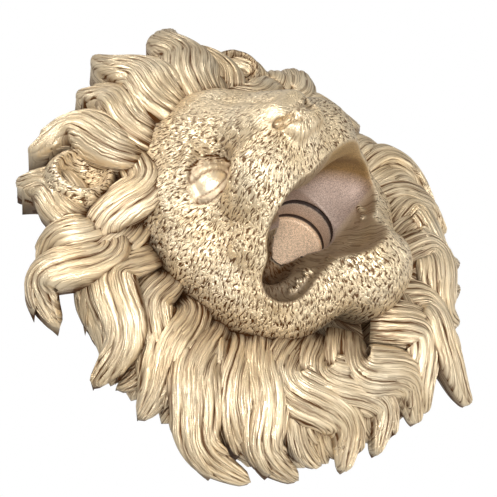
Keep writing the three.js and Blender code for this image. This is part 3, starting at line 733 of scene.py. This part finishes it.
def sweepLock(lock, mirror, seed, spec):
    # one lock as rings of points; returns points, faces, the hair's own measures and its grooves with painted shade
    draw = np.random.default_rng(seed)
    width = lock[4]
    rings, top = spec["rings"], spec["topPoints"]
    t = np.linspace(0, 1, rings) ** hair["crowding"] * spec["end"]
    line = lockLine(lock, mirror, t)
    shift = spec.get("shift")
    frameAlong = np.gradient(line, axis=0)
    frameAlong /= np.linalg.norm(frameAlong, axis=1, keepdims=True)
    radial = np.column_stack([line[:, 0], line[:, 1] - mane["middleUp"], np.zeros(rings)])
    radial /= np.linalg.norm(radial, axis=1, keepdims=True)
    outward = np.array([0, 0, 1.0]) + radial * (hair["leanOut"][0] + hair["leanOut"][1] * t)[:, None]
    outward -= frameAlong * np.sum(outward * frameAlong, axis=1, keepdims=True)
    outward /= np.linalg.norm(outward, axis=1, keepdims=True)
    across = np.cross(frameAlong, outward)
    whole, middle = hair["roll"]
    roll = np.radians(draw.uniform(-whole, whole) + draw.uniform(-middle, middle) * np.sin(np.pi * t))[:, None]
    outward, across = outward * np.cos(roll) + across * np.sin(roll), across * np.cos(roll) - outward * np.sin(roll)
    if shift:
        line = line + across * (shift["side"] * shift["ease"](t))[:, None] + outward * shift["rise"]
    share = t / t[-1]
    half = width / 2 * np.interp(share, mane["taper"]["at"], mane["taper"]["width"])
    tipStart = 1 - hair["tipReach"] * half[-1] / max(np.linalg.norm(line[-1] - line[0]), 1)
    tipRound = np.sqrt(np.clip(1 - ((share - tipStart) / (1 - tipStart)) ** 2, 0, 1))
    half = np.where(share > tipStart, half * (hair["tipWidth"] + (1 - hair["tipWidth"]) * tipRound), half)
    crest = width * mane["crest"] * np.interp(share, mane["taper"]["at"], mane["taper"]["rise"])
    crest = crest * np.where(share > tipStart, hair["tipRise"] + (1 - hair["tipRise"]) * tipRound, 1)
    strands = max(2, round(width / mane["strandMm"]))
    s = np.linspace(-1, 1, top)
    warp = draw.uniform(-0.5, 0.5) * (1 - s ** 2) * hair["warp"]
    phase = draw.uniform(-0.25, 0.25, 2)
    length = np.linalg.norm(np.diff(line, axis=0), axis=1).sum()
    drift = phase[0] * np.sin(2 * np.pi * t * length / hair["driftMm"] + phase[1] * 9)
    strandAt = (s + warp)[None, :] * strands / 2 + drift[:, None]
    ridge = np.abs(np.cos(np.pi * strandAt)) ** hair["grooveShape"]
    which = np.floor(strandAt + 0.5)
    uneven = np.sin(which * 12.9 + seed) * hair["uneven"]
    fade = np.clip(t / hair["fadeIn"], 0, 1) * np.clip((1 - t) / hair["fadeOut"], 0.25, 1)
    lean = s + draw.uniform(-0.3, 0.3) * (1 - s ** 2)             # the ridge stands off the middle
    shape = (1 - np.abs(lean) ** hair["shoulder"]) ** hair["roundness"]
    height = crest[:, None] * (shape * (1 + hair["sunk"]) - hair["sunk"])[None, :]
    depth = spec["strandDepth"] * fade[:, None] * (1 - np.abs(s) ** 6)[None, :]
    height = height + depth * (ridge - 1 + uneven)
    upper = (line[:, None, :] + across[:, None, :] * (half[:, None] * s[None, :])[..., None]
             + outward[:, None, :] * height[..., None])
    under = []
    deep = np.maximum(line[:, 2] * 0.8, crest)
    for side, sink in hair["under"]:
        point = line + across * (half * side)[:, None]
        point[:, 2] -= deep * sink
        under.append(point[:, None, :])
    ring = np.concatenate([upper] + under, axis=1)
    size = ring.shape[1]
    points = ring.reshape(-1, 3)
    a = (np.arange(rings - 1)[:, None] * size + np.arange(size)[None, :]).ravel()
    b = (np.arange(rings - 1)[:, None] * size + (np.arange(size)[None, :] + 1) % size).ravel()
    faces = np.stack([a, b, b + size, a + size], axis=1)
    faces = [tuple(f) for f in faces.tolist()]
    faces.append(tuple(range(size))[::-1])
    faces.append(tuple(range((rings - 1) * size, rings * size)))
    travelled = np.concatenate([[0], np.cumsum(np.linalg.norm(np.diff(line, axis=0), axis=1))])
    u = np.concatenate([half[:, None] * s[None, :], np.zeros((rings, 3))], axis=1)
    v = np.repeat(travelled[:, None], size, axis=1)
    # painted shade: darker towards the root and over the whole underside, on top of the wash and shade in the strand
    # grooves
    rootShade = hair["rootShadeStrength"] * np.clip(1 - t / hair["rootShadeTo"], 0, 1)
    groove = np.concatenate([(1 - ridge) * fade[:, None] + rootShade[:, None], np.ones((rings, 3))], axis=1)
    measures = np.stack([u.ravel(), v.ravel(), np.full(u.size, seed * 7.31)], axis=1)
    return points, faces, measures, groove.ravel()


# Full locks, lower ones between them and thin ones that lie over them: rings along a lock,
# points over its top, depth of its strands, and the share of its line that it follows
lockKinds = {
    "full": {"rings": 36, "topPoints": 33, "strandDepth": 1.15, "end": 1},
    "lower": {"rings": 24, "topPoints": 17, "strandDepth": 0.7, "end": 1},
    "thin": {"rings": 28, "topPoints": 13, "strandDepth": 0.7, "end": 0.87},
}
overlays = {"narrow": 0.46, "shifts": ((0.26, 2.2), (-0.40, 1.2)), "easeFrom": 0.25}
between = {"shorter": 3, "width": 17, "lift": -6, "noneAfter": (1, 2, 3, 4, 5)}     # none beside the ear


def maneLocks():
    # (lock, mirror, spec) for every lock
    found = [(lock, 1, lockKinds["full"]) for lock in middleLocks]
    ease = lambda t: ramp(t, overlays["easeFrom"], 1) ** 1.4
    for mirror in (1, -1):
        for i, lock in enumerate(sideLocks):
            found.append((lock, mirror, lockKinds["full"]))
            for side, rise in overlays["shifts"]:
                shift = {"side": side * lock[4], "ease": ease, "rise": rise}
                over = lock[:4] + (lock[4] * overlays["narrow"],) + lock[5:]
                found.append((over, mirror, {**lockKinds["thin"], "shift": shift}))
            if i + 1 < len(sideLocks) and i not in between["noneAfter"]:
                after = sideLocks[i + 1]
                root, tip = [tuple((np.array(lock[k]) + np.array(after[k])) / 2) for k in (0, 1)]
                bow, sway = (lock[2] + after[2]) / 2, -lock[3] * 0.5
                low = (root, (tip[0], tip[1] - between["shorter"]), bow, sway, between["width"], between["lift"])
                found.append((low, mirror, lockKinds["lower"]))
    return found


def makeMane(material, backMaterial):
    points, faces, measures, groovesAndShade = [], [], [], []
    start = 0
    for number, (lock, mirror, spec) in enumerate(maneLocks()):
        one = sweepLock(lock, mirror, number, spec)
        points.append(one[0])
        faces += [tuple(i + start for i in f) for f in one[1]]
        measures.append(one[2])
        groovesAndShade.append(one[3])
        start += len(one[0])
    # the dome that carries the locks, with its flat back on the wall
    edge = mane["edge"]
    turns, rows = edge["turns"], edge["rows"]
    angle = np.linspace(0, 2 * np.pi, turns, endpoint=False)
    dome = []
    cut = math.sqrt(1 - (edge["sunkIn"] / edge["domeOut"]) ** 2)
    for r in np.sin(np.linspace(1, 0.05, rows) * math.asin(cut)):
        out = edge["domeOut"] * math.sqrt(max(1 - r * r, 0)) - edge["sunkIn"]
        if r < edge["flatWithin"]:
            out = min(out, face["floorOut"] - 0.5)         # flat under the face, clear of the bore
        dome.append(np.stack([edge["side"] * r * np.sin(angle), mane["middleUp"] + edge["up"] * r * np.cos(angle),
                              np.full(turns, max(out, 0))], axis=1))
    for i in range(rows - 1):
        for k in range(turns):
            a, b = start + i * turns + k, start + i * turns + (k + 1) % turns
            faces.append((a, a + turns, b + turns, b))
    faces.append(tuple(start + k for k in range(turns)))
    faces.append(tuple(start + (rows - 1) * turns + k for k in range(turns))[::-1])
    dome = np.concatenate(dome)
    points.append(dome)
    around, reach = np.arctan2(dome[:, 0], dome[:, 1]), np.hypot(dome[:, 0], dome[:, 1])
    measures.append(np.stack([around * 60, reach, np.zeros(len(dome))], axis=1))
    # the dome between the locks takes half darkness: painted shade
    groovesAndShade.append(np.full(len(dome), 0.5))
    points = np.concatenate(points)
    points[:, 2] = np.maximum(points[:, 2], 0)
    piece = meshObject("lion_mask_mane", points, faces, [material, backMaterial])
    for polygon in piece.data.polygons:
        if len(polygon.vertices) == turns and abs(polygon.center.y) < mm:
            polygon.material_index = 1
            polygon.use_smooth = False
    setVector(piece, "flow", np.concatenate(measures))
    setFloat(piece, "fur", np.ones(len(points)))
    setFloat(piece, "bored", np.zeros(len(points)))
    print("mane", len(points), "points", sum(len(f) - 2 for f in faces), "triangles")
    return piece, np.concatenate(groovesAndShade)


# Wash and painted shade: brown antique wash that stays where a cloth can't reach, together with painted shade
# where light is closed off. Rays look for a wall within reach; closed-in places take wash and painted shade, up to the
# most
washAndShadeRays = {"reachMm": 9, "startMm": 0.4, "rays": 9, "spread": 0.85, "from": 0.2, "gain": 1.7, "most": 0.85}
grooveWashAndShade = {"gain": 1.1, "from": 0.25, "most": 0.8}


def paintWashAndShade(pieces, extras):
    reach, rays = washAndShadeRays["reachMm"] * mm, washAndShadeRays["rays"]
    verts, polys, start = [], [], 0
    for piece in pieces:
        mesh = piece.data
        co = np.empty(len(mesh.vertices) * 3)
        mesh.vertices.foreach_get("co", co)
        verts.append(co.reshape(-1, 3))
        polys += [[i + start for i in f.vertices] for f in mesh.polygons]
        start += len(mesh.vertices)
    tree = BVHTree.FromPolygons(np.concatenate(verts).tolist(), polys)
    golden = math.pi * (3 - math.sqrt(5))
    local = []
    for i in range(rays):
        z = 1 - (i + 0.5) / rays * washAndShadeRays["spread"]
        r = math.sqrt(1 - z * z)
        local.append((r * math.cos(golden * i), r * math.sin(golden * i), z))
    for piece, co, extra in zip(pieces, verts, extras):
        normals = np.empty(len(co) * 3)
        piece.data.vertices.foreach_get("normal", normals)
        normals = normals.reshape(-1, 3)
        closed = np.zeros(len(co))
        for n in range(len(co)):
            normal = Vector(normals[n])
            side = normal.orthogonal().normalized()
            other = normal.cross(side)
            origin = Vector(co[n]) + normal * (washAndShadeRays["startMm"] * mm)
            hits = 0.0
            for x, y, z in local:
                found = tree.ray_cast(origin, side * x + other * y + normal * z, reach)[3]
                if found is not None:
                    hits += 1 - found / reach
            closed[n] = hits / rays
        # closed-in places darken: painted shade, with the wash
        painted = np.clip((closed - washAndShadeRays["from"]) * washAndShadeRays["gain"], 0, 1) * washAndShadeRays["most"]
        setFloat(piece, "washAndShade", painted + extra)


camera = makeCamera()
makeLights(camera)
furGold = makeGoldLacquer("champagneGoldLacquerOnFur", furStrokes)
lockGold = makeGoldLacquer("champagneGoldLacquerOnLocks", lockStrokes)
facePiece, thickWashAndShade = makeFace(furGold)
manePiece, groovesAndShade = makeMane(lockGold, makeMattSurface("sandedCastResin"))
# the strand grooves hold wash and painted shade; the roots, undersides and dome between locks take painted shade
groovedAndShaded = np.clip(groovesAndShade * grooveWashAndShade["gain"] - grooveWashAndShade["from"], 0, grooveWashAndShade["most"])
paintWashAndShade([facePiece, manePiece], [thickWashAndShade, groovedAndShaded])
print("wash painted")

floorSpec = {"half": 2.5, "drop": 1.3}         # m, well below the mask
corners = [(x * floorSpec["half"], y * floorSpec["half"], -floorSpec["drop"])
           for x, y in ((-1, -1), (1, -1), (1, 1), (-1, 1))]
floorMesh = bpy.data.meshes.new("paleFloor")
floorMesh.from_pydata(corners, [], [(0, 1, 2, 3)])
floor = bpy.data.objects.new("paleFloor", floorMesh)
bpy.context.scene.collection.objects.link(floor)
floorMesh.materials.append(makeMattSurface("rolledWhiteEmulsion"))
